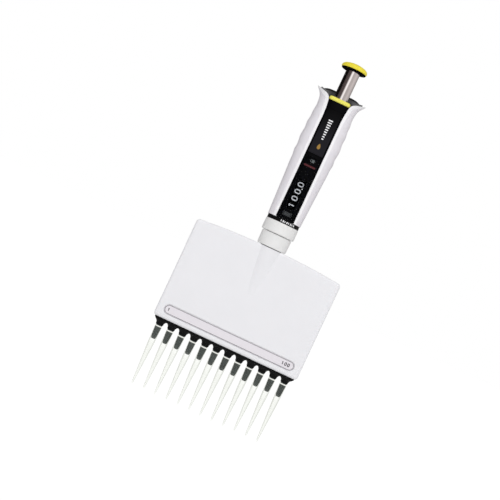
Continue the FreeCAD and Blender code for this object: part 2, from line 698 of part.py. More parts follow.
def colour_ring():
    """Round behind the plunger, carried forward to the face of the panel."""
    def at(x, y):
        return Vector(x, y, RING_Z0)

    radius, side_y = 8.1, -9.6
    edges = [arc(at(radius, 0), at(0, radius), at(-radius, 0)),
             *lines([at(-radius, 0), at(-radius, side_y)]),
             arc(at(-radius, side_y), at(-7.35, -11.75), at(-5.3, -12.75)),
             arc(at(-5.3, -12.75), at(0, -13.1), at(5.3, -12.75)),
             arc(at(5.3, -12.75), at(7.35, -11.75), at(radius, side_y)),
             *lines([at(radius, side_y), at(radius, 0)])]
    ring = prism(edges, Vector(0, 0, RING_Z1 - RING_Z0))
    ring = try_fillet(ring, 1.15, lambda edge: edge.BoundBox.ZLength < 0.01)
    return ring.cut(cyl(5.75, 240, 260))


# ---------------------------------------------------------------- tip ejector, handle side
KEY_Z = 250.9                  # underside of the ejector key
KEY_FRONT = Y_HORN + 0.3
KEY_SPRING_TOP = 247.0         # end of the spring pockets in the key
KEY_SPRINGS = [(-7.35, 7.35), (7.35, 7.35)]      # (x, y)
EJECTOR_SLEEVE_TOP = 162.4


def d_shape(half_x, back, square, z0, z1):
    """Superellipse half behind y = 0, carried straight forward to the front of the key."""
    points = []
    for k in range(41):
        angle = math.pi * k / 40
        points.append(Vector(half_x * signed_power(math.cos(angle), 2 / square),
                             back * abs(math.sin(angle)) ** (2 / square), z0))
    front = [Vector(-half_x, KEY_FRONT, z0), Vector(half_x, KEY_FRONT, z0)]
    return prism([spline(points), *lines([points[-1], *front, points[0]])],
                 Vector(0, 0, z1 - z0))


def prism_above(right_half, z_top):
    """Everything above a symmetric curve; its right half is (x, z) from the middle out."""
    points = [Vector(-x, -30, z) for x, z in right_half[:0:-1]]
    points += [Vector(x, -30, z) for x, z in right_half]
    end_x = right_half[-1][0]
    top = [Vector(end_x, -30, z_top), Vector(-end_x, -30, z_top)]
    return prism([spline(points), *lines([points[-1], *top, points[0]])], Vector(0, 60, 0))


def ejector_key():
    key = fuse(d_shape(11.7, 11.5, 2.5, 240.2, 252.0), d_shape(16.3, 14.0, 3.5, KEY_Z, 259.0))
    key = cut(key, fuse(cyl(8.5, 230, 262), box(-8.5, 8.5, -20, 0, 230, 262)))
    # the dished top is a (y, z) curve and an (x, z) curve combined
    dish = [(-12, 250.6), (-3, 251.1), (2, 251.8), (6, 253.4), (9, 255.0), (9.9, 255.6),
            (10.7, 256.7), (11.5, 257.8), (12.6, 258.3), (17, 258.6)]
    dish = [Vector(-30, y, z) for y, z in dish]
    over = [dish[-1], Vector(-30, 17, 272), Vector(-30, -12, 272), dish[0]]
    above_dish = prism([spline(dish), *lines(over)], Vector(60, 0, 0))
    bowl = [(0, 249.6), (6, 250.6), (10, 252.4), (13, 254.0), (15, 254.5), (17.5, 254.6)]
    key = key.cut(above_dish.common(prism_above(bowl, 272)))
    crest = [(0, 258.2), (5, 258.1), (9, 257.9), (12, 257.3), (14, 256.4), (15, 256.0),
             (15.8, 255.5), (16.5, 254.6), (17.3, 253.4), (18.2, 252.0)]
    key = key.cut(prism_above(crest, 270))
    # slope the underside up to both sides
    slope = [(12.2, KEY_Z - 0.1), (17.0, 253.5), (20.0, 253.5), (20.0, 240.0), (12.2, 240.0)]
    key = cut(key, *[xz_prism([(side * x, z) for x, z in slope], -20, 20) for side in (-1, 1)])
    key = try_fillet(key, 0.6, lambda edge: (
        edge.CenterOfMass.z > 253.0 and edge.CenterOfMass.y > 9 and edge.BoundBox.XLength > 8))
    pockets = [cyl(1.8, 230, KEY_SPRING_TOP, x, y) for x, y in KEY_SPRINGS]
    return cut(key, *pockets).removeSplitter()


def ejector_springs():
    return Part.makeCompound([
        spring(1.38, 0.42, DECK_Z + DECK_THICK + 0.1, KEY_SPRING_TOP - 0.1, 8, x, y)
        for x, y in KEY_SPRINGS])


def ejector_strip():
    strip = fuse(box(-2.0, 2.0, 9.3, 10.3, 160.6, 240.2),
                 box(-1.7, 1.7, 3.8, 10.3, 160.6, EJECTOR_SLEEVE_TOP))
    return cut(strip, cyl(3.2, 150, 170), cyl(4.62, 150, 170))


def ejector_sleeve():
    return tube(4.6, 3.2, 136.2, EJECTOR_SLEEVE_TOP)


# ---------------------------------------------------------------- write
def write(name, shape):
    solids = shape.Solids
    piece = solids[0] if len(solids) == 1 else Part.makeCompound(solids)
    piece.exportStep(f"parts/{name}.step")


# each file takes the name of the function that builds the piece
for build in (
        pipette_tips, tip_cones, cone_orings, cone_retainer, retainer_screws,
        cylinder_block, piston_seals, seal_plate, guide_posts, return_springs,
        piston_carriage, pistons, carriage_stem, top_plate,
        ejector_yoke, ejector_side_rods, ejector_plate,
        housing_front, label_plate, housing_rear, housing_screws,
        neck_tube, swivel_collar, coupling_nut, swivel_washer,
        chassis_base, chassis, wheel_clip, guide_bush,
        setting_sleeve, stop_sleeve, blowout_spring,
        plunger_tube, push_rod, button_base, button_cap,
        handle_shell, rear_cover, handle_screws, finger_hook,
        front_panel, display_window, lock_slider, colour_ring,
        ejector_key, ejector_springs, ejector_strip, ejector_sleeve):
    write(build.__name__, build())
for index, name in enumerate(WHEELS):
    write(name, number_wheel(index))
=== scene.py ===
"""A pipette with numbered volume wheels, its handle upright along +Z above a module wide in X.

The curved front panel, the wheel read-outs and the module label face -Y, towards the camera.
Meshes and CAD are in metres. Marks are drawn in millimetres and scaled when laid on a surface.
"""

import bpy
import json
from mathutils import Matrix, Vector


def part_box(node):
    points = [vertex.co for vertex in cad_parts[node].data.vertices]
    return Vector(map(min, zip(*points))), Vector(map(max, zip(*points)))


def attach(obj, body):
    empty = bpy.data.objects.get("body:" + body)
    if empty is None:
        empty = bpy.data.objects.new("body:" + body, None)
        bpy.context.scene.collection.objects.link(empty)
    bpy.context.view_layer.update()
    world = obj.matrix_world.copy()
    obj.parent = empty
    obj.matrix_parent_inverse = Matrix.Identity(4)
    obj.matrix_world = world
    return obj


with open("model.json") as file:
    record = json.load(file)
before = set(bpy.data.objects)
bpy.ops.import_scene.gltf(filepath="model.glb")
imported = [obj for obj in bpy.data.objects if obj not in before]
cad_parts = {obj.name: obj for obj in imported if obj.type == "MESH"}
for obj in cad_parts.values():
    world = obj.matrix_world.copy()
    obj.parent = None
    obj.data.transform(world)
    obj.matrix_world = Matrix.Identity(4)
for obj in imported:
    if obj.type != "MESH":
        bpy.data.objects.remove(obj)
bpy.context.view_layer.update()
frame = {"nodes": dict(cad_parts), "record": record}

import json
import math

import bmesh
import bpy
from mathutils import Matrix, Vector

scene = bpy.context.scene
MM = 0.001


# ------------------------------------------------------------------ node helpers
class Nodes:
    """A node tree, built with short calls. Inputs take a number, a colour or a socket."""

    def __init__(self, node_tree):
        self.node_tree = node_tree
        node_tree.nodes.clear()

    def add(self, kind, inputs=None, **props):
        node = self.node_tree.nodes.new(kind)
        for name, value in props.items():
            setattr(node, name, value)
        for key, value in (inputs or {}).items():
            socket = node.inputs[key]
            if isinstance(value, bpy.types.NodeSocket):
                self.node_tree.links.new(value, socket)
            elif socket.type == "RGBA":
                socket.default_value = (*value, 1)
            else:
                socket.default_value = value
        return node

    def out(self, kind, inputs=None, **props):
        """Adds a node and returns its first output."""
        return self.add(kind, inputs, **props).outputs[0]

    def split(self, vector):
        return self.add("ShaderNodeSeparateXYZ", {0: vector}).outputs

    def ramp(self, fac, stops):
        node = self.add("ShaderNodeValToRGB", {0: fac})
        elements = node.color_ramp.elements
        while len(elements) < len(stops):
            elements.new(0.5)
        for element, (position, color) in zip(elements, stops):
            element.position = position
            element.color = (*color, 1)
        return node.outputs[0]

    def remap(self, fac, span, to=(0.0, 1.0)):
        return self.out("ShaderNodeMapRange",
                        {0: fac, 1: span[0], 2: span[1], 3: to[0], 4: to[1]})

    def math(self, operation, a, b=None, clamp=False):
        inputs = {0: a} if b is None else {0: a, 1: b}
        return self.out("ShaderNodeMath", inputs, operation=operation, use_clamp=clamp)

    def mix_shader(self, fac, a, b):
        return self.out("ShaderNodeMixShader", {0: fac, 1: a, 2: b})


class Material(Nodes):
    """A material's node tree, textured in object coordinates."""

    def __init__(self, name):
        self.material = bpy.data.materials.new(name)
        self.material.use_nodes = True
        super().__init__(self.material.node_tree)
        self.output = self.add("ShaderNodeOutputMaterial")
        self.coord = self.add("ShaderNodeTexCoord").outputs["Object"]

    def noise(self, scale, detail=3.0, rough=0.5, stretch=(1, 1, 1)):
        """Noise in millimetres: scale is features per millimetre."""
        vector = self.out("ShaderNodeMapping", {
            "Vector": self.coord, "Scale": tuple(1000.0 * scale * s for s in stretch)})
        return self.add("ShaderNodeTexNoise", {
            "Scale": 1.0, "Detail": detail, "Roughness": rough, "Vector": vector}).outputs["Fac"]

    def mix(self, fac, a, b, blend="MIX"):
        # with data_type RGBA, inputs 6 and 7 and output 2 carry the colours
        return self.add("ShaderNodeMix", {0: fac, 6: a, 7: b},
                        data_type="RGBA", blend_type=blend).outputs[2]

    def multiply(self, a, b, fac=1.0):
        return self.mix(fac, a, b, blend="MULTIPLY")

    def bump(self, height, strength, dist_mm, normal=None):
        inputs = {"Strength": strength, "Distance": dist_mm * MM, "Height": height}
        if normal is not None:
            inputs["Normal"] = normal
        return self.out("ShaderNodeBump", inputs)

    def bevel(self, radius_mm):
        return self.out("ShaderNodeBevel", {"Radius": radius_mm * MM}, samples=4)

    def edge(self, radius_mm):
        """1 on sharp convex or concave edges, 0 on open faces."""
        rounded = self.bevel(radius_mm)
        flat = self.add("ShaderNodeNewGeometry").outputs["Normal"]
        dot = self.add("ShaderNodeVectorMath", {0: rounded, 1: flat}, operation="DOT_PRODUCT")
        return self.remap(dot.outputs["Value"], span=(0.995, 0.80))

    def principled(self, **inputs):
        """Ends the tree in a Principled shader; underscores stand for spaces in input names."""
        named = {key.replace("_", " "): value for key, value in inputs.items()}
        return self.finish(self.out("ShaderNodeBsdfPrincipled", named))

    def finish(self, shader):
        self.node_tree.links.new(shader, self.output.inputs["Surface"])
        return self.material


def srgb(rgb):
    """8-bit sRGB to linear."""
    def linear(v):
        v /= 255.0
        return v / 12.92 if v <= 0.04045 else ((v + 0.055) / 1.055) ** 2.4
    return tuple(linear(v) for v in rgb)


def tint(color, gain, lift=0.0):
    return tuple(min(c * gain + lift, 1.0) for c in color)


# ------------------------------------------------------------------ kinds of material
def plastic(name, rgb, rough, grain, grain_mm=0.012, mottle=0.03, spec=0.5, sss=0.0, wear=0.25,
            wear_rgb=None, dirt=0.06, bevel_mm=0.18, scratches=0.0, shade=None, ior=1.49):
    """Moulded plastic: fine grain, slight colour and gloss drift, edges rubbed smooth.

    grain is in features per mm; mottle, wear, dirt and scratches are strengths.
    """
    tree = Material(name)
    color = srgb(rgb)
    cloud = tree.noise(scale=0.035, detail=4, rough=0.55)
    fine = tree.noise(scale=grain, detail=2, rough=0.6)
    patch = tree.noise(scale=0.35, detail=5, rough=0.6)
    edge = tree.edge(bevel_mm * 2.2)

    mottled = tree.ramp(cloud, [(0.3, tint(color, gain=1 - mottle)),
                                (0.7, tint(color, gain=1 + mottle * 0.7))])
    specks = tree.remap(fine, span=(0.35, 0.75), to=(1.0 - dirt, 1.0))
    surface = tree.multiply(mottled, specks)
    rubbed = srgb(wear_rgb) if wear_rgb else tint(color, gain=1.12, lift=0.02)
    worn = tree.remap(patch, span=(0.35, 0.75), to=(wear * 0.3, wear))
    surface = tree.mix(tree.math("MULTIPLY", edge, worn, clamp=True), surface, rubbed)
    if shade:
        surface = shade(tree, surface)

    edge_gloss = 0.12  # how much smoother the rubbed edges are
    roughness = tree.remap(patch, span=(0.3, 0.75), to=(rough - 0.05, rough + 0.06))
    roughness = tree.math("SUBTRACT", roughness, tree.math("MULTIPLY", edge, edge_gloss),
                          clamp=True)
    if scratches:
        lines = tree.noise(scale=1.2, detail=2, rough=0.5, stretch=(6, 0.15, 0.3))
        lines = tree.remap(lines, span=(0.62, 0.7), to=(0.0, scratches))
        roughness = tree.math("ADD", roughness, lines, clamp=True)
    normal = tree.bump(fine, strength=0.35, dist_mm=grain_mm, normal=tree.bevel(bevel_mm))
    scatter = {}
    if sss:
        scatter = {"Subsurface_Weight": sss, "Subsurface_Radius": (1.0, 0.9, 0.85),
                   "Subsurface_Scale": 0.0012}
    return tree.principled(Base_Color=surface, Roughness=roughness, IOR=ior, Normal=normal,
                           Specular_IOR_Level=spec, Coat_Roughness=0.1, **scatter)


def metal(name, color, rough, brush, brush_mm=0.004, var=0.08, bevel_mm=0.12):
    """Drawn or brushed metal: brush is the streaks' frequency along X, Y and Z."""
    tree = Material(name)
    streak = tree.noise(scale=1.0, detail=4, rough=0.65, stretch=brush)
    cloud = tree.noise(scale=0.12, detail=4, rough=0.6)
    edge = tree.edge(bevel_mm * 2)
    surface = tree.ramp(cloud, [(0.25, tint(color, gain=1 - var)),
                                (0.75, tint(color, gain=1 + var))])
    edge_shine = 0.4  # share of the lighter colour on the edges
    surface = tree.mix(tree.math("MULTIPLY", edge, edge_shine), surface, tint(color, gain=1.2))
    roughness = tree.math("ADD",
                          tree.remap(streak, span=(0.3, 0.7), to=(rough * 0.75, rough * 1.25)),
                          tree.remap(cloud, span=(0.4, 0.7), to=(0.0, 0.05)))
    normal = tree.bump(streak, strength=0.3, dist_mm=brush_mm, normal=tree.bevel(bevel_mm))
    return tree.principled(Base_Color=surface, Metallic=1.0, Roughness=roughness, Normal=normal)


def rubber(name, rgb):
    tree = Material(name)
    color = srgb(rgb)
    fine = tree.noise(scale=9.0, detail=3, rough=0.6)
    cloud = tree.noise(scale=0.3, detail=4, rough=0.6)
    surface = tree.ramp(cloud, [(0.3, tint(color, gain=0.8)),
                                (0.7, tint(color, gain=1.5, lift=0.005))])
    return tree.principled(Base_Color=surface,
                           Roughness=tree.remap(cloud, span=(0.3, 0.7), to=(0.62, 0.8)),
                           Normal=tree.bump(fine, strength=0.4, dist_mm=0.02),
                           Sheen_Weight=0.15)


def ink(name, rgb):
    """Printed ink: slightly uneven cover and gloss."""
    tree = Material(name)
    color = srgb(rgb)
    cover = tree.noise(scale=5.0, detail=3, rough=0.6)
    return tree.principled(
        Base_Color=tree.ramp(cover, [(0.25, tint(color, gain=0.85)), (0.6, color)]),
        Roughness=tree.remap(cover, span=(0.3, 0.7), to=(0.42, 0.58)),
        Normal=tree.bump(cover, strength=0.2, dist_mm=0.006),
        Specular_IOR_Level=0.3)


def clear_cover():
    """Hard clear moulding: mostly see-through, with a reflection that grows to the edges."""
    tree = Material("clear_cover")
    fine = tree.noise(scale=0.6, detail=3, rough=0.5)
    normal = tree.bump(fine, strength=0.12, dist_mm=0.003, normal=tree.bevel(0.15))
    through = tree.out("ShaderNodeBsdfTransparent", {"Color": (0.93, 0.94, 0.95)})
    gloss = tree.out("ShaderNodeBsdfGlossy", {
        "Color": (0.9, 0.9, 0.92), "Normal": normal,
        "Roughness": tree.remap(fine, span=(0.3, 0.7), to=(0.05, 0.11))})
    weight = tree.add("ShaderNodeLayerWeight", {"Blend": 0.12, "Normal": normal})
    reflection = 0.12  # scales the Fresnel share of gloss
    share = tree.math("MULTIPLY", weight.outputs["Fresnel"], reflection, clamp=True)
    return tree.finish(tree.mix_shader(share, through, gloss))


def tip_plastic():
    """Cloudy see-through plastic: a clear wall with painted shade on its sides, under a pale
    milky glow of painted light, with a painted highlight at the upper rim.
    """
    tree = Material("tip_polypropylene")
    flow = tree.noise(scale=0.5, detail=3, rough=0.6, stretch=(1, 1, 0.12))
    facing = tree.add("ShaderNodeLayerWeight", {"Blend": 0.4}).outputs["Facing"]
    normal_x = tree.split(tree.add("ShaderNodeNewGeometry").outputs["Normal"])["X"]
    left = tree.remap(normal_x, span=(-0.52, -0.97))
    right = tree.remap(normal_x, span=(0.80, 0.99))
    z = tree.split(tree.coord)["Z"]

    # painted shade on the sides, the left one more, greying the clear wall; both fade out where
    # the wall clears at the bottom
    left_painted_shade, right_painted_shade = 0.24, 0.08
    shade = tree.math("ADD", tree.math("MULTIPLY", left, left_painted_shade),
                      tree.math("MULTIPLY", right, right_painted_shade), clamp=True)
    thin = tree.remap(z, span=(0.0030, 0.0056))
    shade = tree.math("MULTIPLY", shade, thin, clamp=True)
    through = tree.out("ShaderNodeBsdfTransparent", {0: tree.ramp(shade, [
        (0.0, (0.993, 0.995, 0.989)), (0.2, (0.80, 0.805, 0.79)), (1.0, (0.5, 0.5, 0.5))])})

    # painted light: the tips glow with this colour, whiter at the upper rim as a painted
    # highlight
    lit = tree.ramp(flow, [(0.3, (0.78, 0.80, 0.735)), (0.7, (0.84, 0.86, 0.795))])
    lit = tree.mix(tree.remap(z, span=(0.0482, 0.0487)), lit, (0.96, 0.965, 0.91))
    glow = tree.out("ShaderNodeEmission", {"Color": lit, "Strength": 1.0})

    # the pale milky look is painted light, the glow's share: power and gain shape it by view
    # angle, base is everywhere
    glow_power, glow_gain, glow_base = 2.0, 0.16, 0.028
    # more painted glow at the upper rim, a painted highlight, and more towards the lower part
    rim = tree.remap(z, span=(0.0485, 0.0488), to=(0.0, 0.6))
    low = tree.remap(z, span=(0.0415, 0.033), to=(0.0, 0.10))
    glow_share = tree.math("MULTIPLY", tree.math("POWER", facing, glow_power), glow_gain)
    glow_share = tree.math("ADD", glow_share, glow_base)
    glow_share = tree.math("ADD", glow_share, rim)
    glow_share = tree.math("ADD", glow_share, low, clamp=True)
    streaks = tree.remap(flow, span=(0.3, 0.7), to=(0.85, 1.12))
    glow_share = tree.math("MULTIPLY", glow_share, streaks, clamp=True)
    glow_share = tree.math("MULTIPLY", glow_share, thin, clamp=True)
    material = tree.finish(tree.mix_shader(glow_share, through, glow))
    if hasattr(material, "cycles"):  # present only where Cycles is loaded
        material.cycles.emission_sampling = "NONE"
    return material


# ------------------------------------------------------------------ shading by place
def grip_shade(tree, color):
    """Painted light on the grips: a painted highlight on the lip along the middle; outside it
    painted shade, stronger edge-on, and faint painted shade of the waves.
    """
    x, _, z = tree.split(tree.coord)
    from_middle = tree.math("ABSOLUTE", x)
    # half width of the painted highlight on the lip, in metres, growing with height
    half_width = tree.math("ADD",
                           tree.remap(z, span=(0.236, 0.2475), to=(0.0087, 0.0104)),
                           tree.remap(z, span=(0.2475, 0.2530), to=(0.0, 0.0080)))
    lip = tree.remap(tree.math("SUBTRACT", from_middle, half_width),
                     span=(-0.0002, 0.0005), to=(1.0, 0.0))
    # painted shade on the grips towards their outer edges, stronger edge-on
    facing = tree.add("ShaderNodeLayerWeight", {"Blend": 0.5}).outputs["Facing"]
    rim = tree.remap(facing, span=(0.70, 0.97))
    rim_shade_strength = 0.30
    dark = tree.multiply(color, (0.55, 0.53, 0.55),
                         fac=tree.math("MULTIPLY", rim, rim_shade_strength))
    # faint painted shade of the waves along the grips
    wave_shade = tree.noise(scale=0.09, detail=2, rough=0.4)
    body = tree.multiply(dark, (0.94, 0.935, 0.945),
                         fac=tree.remap(wave_shade, span=(0.35, 0.65), to=(0.0, 0.35)))
    # the painted highlight: near-white on the lip
    return tree.mix(lip, body, srgb((254, 253, 255)))


def slider_shade(tree, color):
    """Fades from grey at the lower end to nearly black at the top."""
    height = tree.remap(tree.split(tree.coord)["Z"], span=(0.205, 0.247))
    greys = [(0.0, 1.0), (0.4, 0.78), (0.65, 0.30), (0.85, 0.10), (1.0, 0.06)]
    return tree.multiply(color, tree.ramp(height, [(at, (grey,) * 3) for at, grey in greys]))


def key_shade(tree, color):
    """Painted shade on the saddle: a dark band along the crest over its wings, lighter in the
    hollow below it, darker again further down, and darker in the middle.
    """
    x, _, z = tree.split(tree.coord)
    # crest height in metres: top at the middle, falling off with the fourth power of x
    crest_top, crest_fall, crest_depth = 0.2582, 3.6e4, 0.005
    x2 = tree.math("MULTIPLY", x, x)
    x4 = tree.math("MULTIPLY", x2, x2)
    crest = tree.math("SUBTRACT", crest_top, tree.math("MULTIPLY", x4, crest_fall))
    below = tree.remap(tree.math("SUBTRACT", crest, z), span=(0.0, crest_depth))
    # painted shade: dark along the crest, light in the hollow, darker again below
    color = tree.multiply(color, tree.ramp(below, [
        (0.0, (0.12, 0.12, 0.125)), (0.24, (0.16, 0.16, 0.165)), (0.42, (0.95, 0.95, 0.96)),
        (0.8, (1.0, 1.0, 1.0)), (1.0, (0.7, 0.7, 0.7))]))
    # painted shade, darker in the middle
    middle = tree.remap(tree.math("ABSOLUTE", x), span=(0.0075, 0.0115), to=(0.45, 1.0))
    return tree.multiply(color, middle)


# ------------------------------------------------------------------ materials by slot
materials = {
    "shell_white": plastic(
        "grip_plastic", (240, 237, 242), rough=0.42, grain=7.0, grain_mm=0.005, mottle=0.018,
        spec=0.35, sss=0.06, wear=0.35, dirt=0.03, bevel_mm=0.22, scratches=0.05,
        shade=grip_shade),
    "module_white": plastic(
        "module_plastic", (243, 243, 246), rough=0.46, grain=5.0, mottle=0.014, spec=0.4,
        sss=0.05, wear=0.4, dirt=0.03, bevel_mm=0.25, scratches=0.04),
    "fitting_white": plastic(
        "fitting_plastic", (240, 240, 239), rough=0.3, grain=4.0, grain_mm=0.005, mottle=0.016,
        sss=0.05, wear=0.4, dirt=0.03, bevel_mm=0.2),
    "cover_grey": plastic(
        "cover_plastic", (74, 74, 76), rough=0.42, grain=5.0, grain_mm=0.010, mottle=0.06,
        spec=0.3, wear=0.15, wear_rgb=(90, 90, 92), dirt=0.12, bevel_mm=0.2, scratches=0.08),
    "panel_black": plastic(
        "panel_gloss", (3, 3, 6), rough=0.12, grain=3.0, grain_mm=0.002, mottle=0.1, spec=0.05,
        wear=0.15, wear_rgb=(30, 30, 34), dirt=0.1, bevel_mm=0.12),
    "slider_black": plastic(
        "slider_plastic", (37, 36, 41), rough=0.38, grain=8.0, grain_mm=0.008, mottle=0.08,
        spec=0.06, wear_rgb=(56, 56, 62), dirt=0.15, bevel_mm=0.12, shade=slider_shade),
    "wheel_black": plastic(
        "wheel_plastic", (4, 4, 5), rough=0.4, grain=7.0, grain_mm=0.01, mottle=0.1, spec=0.05,
        wear=0.2, wear_rgb=(24, 24, 26), dirt=0.2, bevel_mm=0.1),
    "yellow": plastic(
        "yellow_plastic", (246, 229, 66), rough=0.34, grain=4.0, grain_mm=0.003, mottle=0.025,
        spec=0.3, sss=0.12, wear=0.3, wear_rgb=(250, 240, 130), dirt=0.04, bevel_mm=0.2),
    "black_plastic": plastic(
        "black_plastic", (11, 11, 12), rough=0.45, grain=5.0, grain_mm=0.01, mottle=0.08,
        spec=0.14, wear=0.3, wear_rgb=(44, 44, 46), dirt=0.15, bevel_mm=0.15),
    "tube_steel": metal("tube_steel", (0.80, 0.765, 0.755), rough=0.07, brush=(7.0, 7.0, 0.04),
                        brush_mm=0.0012, var=0.04),
    "steel": metal("plain_steel", (0.56, 0.56, 0.57), rough=0.26, brush=(0.5, 0.5, 8.0)),
    "spring_steel": metal("spring_wire", (0.48, 0.48, 0.50), rough=0.3, brush=(3, 3, 3),
                          bevel_mm=0.05),
    "screw_steel": metal("screw_steel", (0.58, 0.58, 0.58), rough=0.28, brush=(2, 7, 2),
                         bevel_mm=0.08),
    "chassis_plastic": plastic(
        "chassis_plastic", (62, 62, 65), rough=0.5, grain=4.0, grain_mm=0.02, mottle=0.07,
        dirt=0.1),
    "aluminium": metal("machined_aluminium", (0.72, 0.72, 0.74), rough=0.32,
                       brush=(0.3, 7.0, 7.0)),
    "block_plastic": plastic(
        "block_plastic", (176, 174, 166), rough=0.4, grain=3.0, grain_mm=0.01, mottle=0.04,
        sss=0.08),
    "cone_plastic": plastic(
        "cone_plastic", (48, 56, 55), rough=0.36, grain=6.0, grain_mm=0.004, mottle=0.06,
        spec=0.2, wear=0.4, wear_rgb=(80, 86, 88), dirt=0.1, bevel_mm=0.12),
    "seal_rubber": rubber("seal_rubber", (28, 28, 28)),
    "washer_ptfe": plastic("washer_plastic", (232, 232, 228), rough=0.5, grain=3.0, sss=0.1),
    "label_film": plastic(
        "label_film", (237, 233, 238), rough=0.5, grain=9.0, grain_mm=0.004, mottle=0.012,
        spec=0.3, wear=0.2, dirt=0.02, bevel_mm=0.1),
    "window_clear": clear_cover(),
    "tip_clear": tip_plastic(),
    "base_black": plastic(
        "base_plastic", (5, 5, 6), rough=0.5, grain=5.0, grain_mm=0.008, mottle=0.08, spec=0.05,
        wear=0.15, wear_rgb=(24, 24, 25), dirt=0.12, bevel_mm=0.15, ior=1.04),
    "ring_yellow": plastic(
        "ring_plastic", (244, 237, 106), rough=0.3, grain=4.0, grain_mm=0.002, mottle=0.02,
        spec=0.3, sss=0.1, wear=0.3, wear_rgb=(250, 246, 170), dirt=0.03, bevel_mm=0.2),
    "key_grey": plastic(
        "key_plastic", (112, 112, 113), rough=0.42, grain=5.0, grain_mm=0.008, mottle=0.06,
        spec=0.2, wear=0.0, dirt=0.10, bevel_mm=0.2, scratches=0.08, shade=key_shade),
    "neck_grey": plastic(
        "neck_plastic", (168, 166, 168), rough=0.4, grain=5.0, grain_mm=0.006, spec=0.3),
}
INKS = {"ink_white": (251, 251, 253), "ink_grey": (92, 95, 98), "ink_dim": (94, 100, 101),
        "ink_red": (84, 27, 33), "ink_amber": (160, 124, 56), "ink_line": (126, 124, 128),
        "ink_dark": (66, 62, 68)}
for name, rgb in INKS.items():
    materials[name] = ink(name, rgb)

# CAD nodes take the material of their slot, apart from these four
slot_of = {part["node"]: part["material_slot"] for part in frame["record"]["subparts"]}
slot_of.update(button_base="base_black", colour_ring="ring_yellow", ejector_key="key_grey",
               neck_tube="neck_grey")
for name, obj in frame["nodes"].items():
    obj.data.materials.clear()
    obj.data.materials.append(materials[slot_of[name]])


# ------------------------------------------------------------------ drawing marks
# Marks are drawn flat in mm (u across, v up, w out of the surface), then laid on a surface.
def new_mesh(name, bm, ink_name, body):
    mesh = bpy.data.meshes.new(name)
    bm.normal_update()
    bm.to_mesh(mesh)
    bm.free()
    mesh.materials.append(materials[ink_name])
    obj = bpy.data.objects.new(name, mesh)
    scene.collection.objects.link(obj)
    for polygon in mesh.polygons:
        polygon.use_smooth = False
    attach(obj, body)


def lay(bm, surface):
    """Moves each vertex through surface, which maps u, v, w to x, y, z in mm."""
    for vert in bm.verts:
        vert.co = [c * MM for c in surface(*vert.co)]


def lay_mark(name, bm, surface, ink_name, body):
    lay(bm, surface)
    bmesh.ops.recalc_face_normals(bm, faces=bm.faces)
    new_mesh(name, bm, ink_name, body)


def slab(bm, outline, depth, holes=()):
    """Thin raised shape: its foot at w = 0, its top at w = depth."""
    edges = []
    for loop in [outline, *holes]:
        verts = [bm.verts.new((u, v, 0.0)) for u, v in loop]
        for a, b in zip(verts, verts[1:] + verts[:1]):
            edges.append(bm.edges.new((a, b)))
    fill = bmesh.ops.triangle_fill(bm, use_beauty=True, use_dissolve=False, edges=edges)
    faces = [g for g in fill["geom"] if isinstance(g, bmesh.types.BMFace)]
    for face in faces:
        face.normal_update()
        if face.normal.z < 0:
            face.normal_flip()
    raised = bmesh.ops.extrude_face_region(bm, geom=faces)
    for item in raised["geom"]:
        if isinstance(item, bmesh.types.BMVert):
            item.co.z += depth


def arc(cx, cy, rx, ry, start, end, steps=14):
    """Points on an elliptical arc, angles in degrees."""
    angles = [math.radians(start + (end - start) * k / steps) for k in range(steps + 1)]
    return [(cx + rx * math.cos(a), cy + ry * math.sin(a)) for a in angles]


def rect(u0, u1, v0, v1, r=0.0):
    """Rectangle with corners rounded to radius r."""
    if r <= 0:
        return [(u0, v0), (u1, v0), (u1, v1), (u0, v1)]
    corners = ((u1 - r, v0 + r, -90), (u1 - r, v1 - r, 0),
               (u0 + r, v1 - r, 90), (u0 + r, v0 + r, 180))
    return [p for cu, cv, a in corners for p in arc(cu, cv, r, r, a, a + 90, steps=4)]


def stroke_sides(points, weight, closed=False):
    """Left and right sides of a line of the given weight along points."""
    left, right = [], []
    count = len(points)
    for i, (x, y) in enumerate(points):
        if closed:
            before, after = points[i - 1], points[(i + 1) % count]
        else:
            before, after = points[max(i - 1, 0)], points[min(i + 1, count - 1)]
        dx, dy = after[0] - before[0], after[1] - before[1]
        length = math.hypot(dx, dy) or 1.0
        nx, ny = -dy / length, dx / length
        left.append((x + nx * weight / 2, y + ny * weight / 2))
        right.append((x - nx * weight / 2, y - ny * weight / 2))
    return left, right


def stroke(bm, points, weight, depth, closed=False):
    left, right = stroke_sides(points, weight, closed)
    if closed:
        slab(bm, left, depth, holes=[right])
    else:
        slab(bm, left + right[::-1], depth)


# Digits as centre lines in a cell about 1 wide and 1.5 tall: half width W, half height H
W, H = 0.42, 0.70


def ring(cy, rx, ry):
    return arc(0, cy, rx, ry, 0, 360, steps=20)[:-1]


